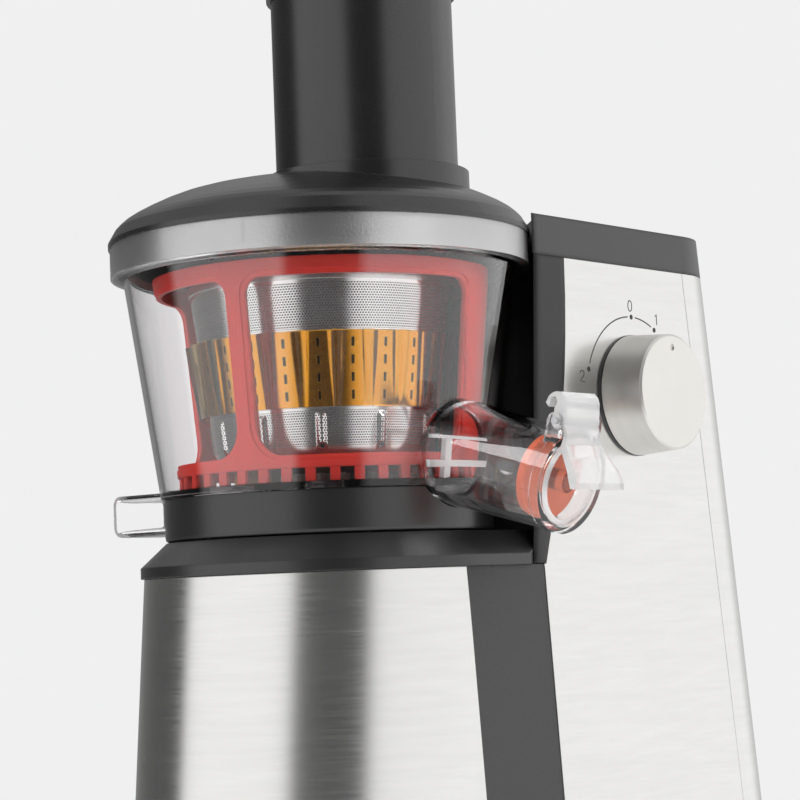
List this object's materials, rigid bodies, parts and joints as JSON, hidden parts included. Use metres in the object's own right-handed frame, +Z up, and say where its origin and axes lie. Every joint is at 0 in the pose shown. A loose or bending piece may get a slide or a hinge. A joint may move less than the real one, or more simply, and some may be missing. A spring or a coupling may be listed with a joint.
{
  "type": "cold press juicer",
  "caption": "Cold press juicer with a clear bowl, spinning brush round a sieve and auger, domed lid with feed tube, capped juice spout and a steel body with a rotary knob.",
  "frame": {"origin": "middle of the footprint of the whole machine, on the surface that it stands on", "axes": "+Z up, -Y to the rounded front, +X to the side with the knob and the juice spout"},
  "size_m": [0.2291, 0.287, 0.409],
  "materials": {
    "steel": "brushed",
    "black_plastic": "satin",
    "clear_plastic": "clear",
    "red_plastic": "satin",
    "red_silicone": "matt",
    "orange_silicone": "matt",
    "amber_plastic": "satin",
    "auger_plastic": "satin",
    "white_plastic": "matt",
    "grey_plastic": "matt",
    "grey_silicone": "matt",
    "rubber": "matt",
    "zinc": "satin",
    "cast_metal": "cast",
    "copper": "satin",
    "board": "matt"
  },
  "bodies": {
    "base": {"base_plate": "black_plastic", "rubber_feet": "rubber", "base_screws": "zinc", "housing": "black_plastic", "front_wrap": "steel", "side_trims": "black_plastic", "side_panel_right": "steel", "side_panel_left": "steel", "rear_wrap": "steel", "back_plate": "black_plastic", "cord_gland": "rubber", "tower_cap": "black_plastic", "deck": "black_plastic", "knob_ring": "black_plastic", "rotary_switch": "grey_plastic", "control_board": "board", "reed_switch": "black_plastic", "motor_case": "cast_metal", "motor_stator": "copper", "motor_bearings": "zinc", "gearbox_housing": "cast_metal", "gearbox_cover": "cast_metal", "gearbox_screws": "zinc", "gear_pin": "zinc", "shaft_bearings": "zinc", "shaft_seal": "rubber"},
    "knob": {"knob": "steel", "switch_shaft": "zinc"},
    "motor": {"motor_rotor": "zinc", "cooling_fan": "white_plastic", "motor_pinion": "zinc"},
    "reduction": {"reduction_gear": "white_plastic"},
    "drive": {"output_gear": "white_plastic", "drive_shaft": "zinc"},
    "bowl": {"bowl": "clear_plastic", "bowl_collar": "black_plastic", "juice_spout": "clear_plastic", "spout_guard": "clear_plastic", "pulp_gate": "orange_silicone", "cap_pin": "zinc", "sieve_rim": "steel", "sieve_upper": "steel", "sieve_band": "amber_plastic", "sieve_lower": "steel", "sieve_floor": "amber_plastic", "idler_clip": "zinc", "lid_seal": "grey_silicone"},
    "brush": {"brush_frame": "red_plastic", "brush_wipers": "red_silicone"},
    "idler": {"idler_gear": "white_plastic"},
    "auger": {"auger": "auger_plastic", "auger_gear": "white_plastic"},
    "cap": {"juice_cap": "clear_plastic", "cap_plug": "orange_silicone"},
    "lid": {"lid": "black_plastic", "lid_bush": "white_plastic", "lid_magnet": "zinc"},
    "pusher": {"pusher": "black_plastic"}
  },
  "joints": [
    {"name": "knob_turn", "type": "hinge", "parent": "base", "child": "knob", "pos_m": [0.05884, 0.04611, 0.2378], "axis": [1, 0, 0], "range_deg": [-33, 75]},
    {"name": "drive_spin", "type": "hinge", "parent": "base", "child": "drive", "pos_m": [-0.01116, -0.05699, 0.186], "axis": [0, 0, 1], "continuous": true},
    {"name": "reduction_spin", "type": "hinge", "parent": "base", "child": "reduction", "pos_m": [-0.01116, -0.02099, 0.12], "axis": [0, 0, 1], "continuous": true},
    {"name": "motor_spin", "type": "hinge", "parent": "base", "child": "motor", "pos_m": [-0.01116, -0.05699, 0.06], "axis": [0, 0, 1], "continuous": true},
    {"name": "bowl_lift", "type": "slide", "parent": "base", "child": "bowl", "axis": [0, 0, 1], "range_m": [0, 0.06]},
    {"name": "auger_spin", "type": "hinge", "parent": "bowl", "child": "auger", "pos_m": [-0.01116, -0.05699, 0.2047], "axis": [0, 0, 1], "continuous": true},
    {"name": "idler_spin", "type": "hinge", "parent": "bowl", "child": "idler", "pos_m": [-0.01116, -0.02157, 0.2047], "axis": [0, 0, 1], "continuous": true},
    {"name": "brush_spin", "type": "hinge", "parent": "bowl", "child": "brush", "pos_m": [-0.01116, -0.05699, 0.2047], "axis": [0, 0, 1], "continuous": true},
    {"name": "cap_flip", "type": "hinge", "parent": "bowl", "child": "cap", "pos_m": [0.10507, -0.05699, 0.22101], "axis": [0, -1, 0], "range_deg": [0, 45]},
    {"name": "lid_turn", "type": "hinge", "parent": "bowl", "child": "lid", "pos_m": [-0.01116, -0.05699, 0.297], "axis": [0, 0, 1], "range_deg": [0, 15]},
    {"name": "pusher_slide", "type": "slide", "parent": "lid", "child": "pusher", "axis": [0, 0, 1], "range_m": [0, 0.075]}
  ],
  "couplings": [
    {"joint": "reduction_spin", "follows": "drive_spin", "ratio": -4},
    {"joint": "motor_spin", "follows": "drive_spin", "ratio": 20},
    {"joint": "auger_spin", "follows": "drive_spin", "ratio": 1},
    {"joint": "idler_spin", "follows": "drive_spin", "ratio": -0.85714},
    {"joint": "brush_spin", "follows": "drive_spin", "ratio": -0.3}
  ]
}
